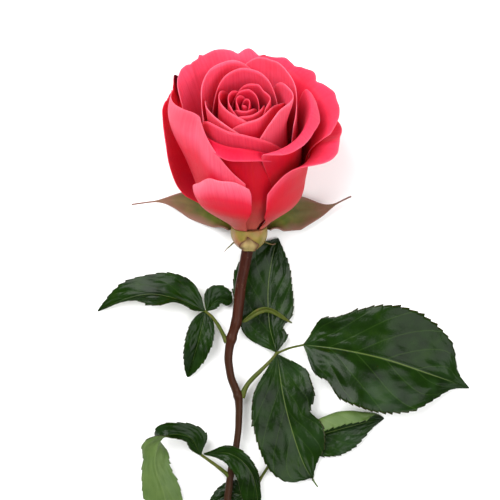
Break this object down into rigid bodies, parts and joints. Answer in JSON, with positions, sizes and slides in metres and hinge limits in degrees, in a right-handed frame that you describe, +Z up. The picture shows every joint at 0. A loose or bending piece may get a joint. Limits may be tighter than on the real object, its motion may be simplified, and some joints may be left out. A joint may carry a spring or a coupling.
{
  "type": "cut rose",
  "caption": "Cut rose lying on its side: open bloom of layered petals, sepals, receptacle and a leafy stem with a slanted cut.",
  "frame": {"origin": "middle of the underside of the whole object's box, on the surface it lies on", "axes": "+Y along the object from the cut end of the stem to the bloom, +X to the right as the bloom's face is seen from above, +Z up from the surface"},
  "size_m": [0.1564, 0.2946, 0.0638],
  "materials": {
    "petal": "soft velvety coral red, paler on the outer faces and rims",
    "sepal": "matte yellow green with brown pink edges",
    "receptacle": "satin yellow green with a reddish blush",
    "stem": "satin reddish brown bark",
    "stalk": "satin olive green",
    "leaf": "glossy dark green above, matte pale green below"
  },
  "bodies": {
    "root": {"bract_front": "sepal", "bristle_left": "sepal", "bristle_right": "sepal", "leaflet_1a": "leaf", "leaflet_1b": "leaf", "leaflet_1c": "leaf", "leaflet_2a": "leaf", "leaflet_2b": "leaf", "leaflet_2c": "leaf", "leaflet_3a": "leaf", "leaflet_3b": "leaf", "leaflet_4a": "leaf", "leaflet_4b": "leaf", "petal_01": "petal", "petal_02": "petal", "petal_03": "petal", "petal_04": "petal", "petal_05": "petal", "petal_06": "petal", "petal_07": "petal", "petal_08": "petal", "petal_09": "petal", "petal_10": "petal", "petal_11": "petal", "petal_12": "petal", "petal_13": "petal", "petal_14": "petal", "petal_15": "petal", "petal_16": "petal", "petal_17": "petal", "petal_18": "petal", "petal_19": "petal", "petal_20": "petal", "petal_21": "petal", "petal_22": "petal", "petal_23": "petal", "petal_24": "petal", "petal_25": "petal", "receptacle": "receptacle", "sepal_back": "sepal", "sepal_left": "sepal", "sepal_right": "sepal", "stalk_1": "stalk", "stalk_2": "stalk", "stalk_2c": "stalk", "stalk_3": "stalk", "stalk_4": "stalk", "stem": "stem", "stem_bract": "stalk"}
  },
  "joints": []
}
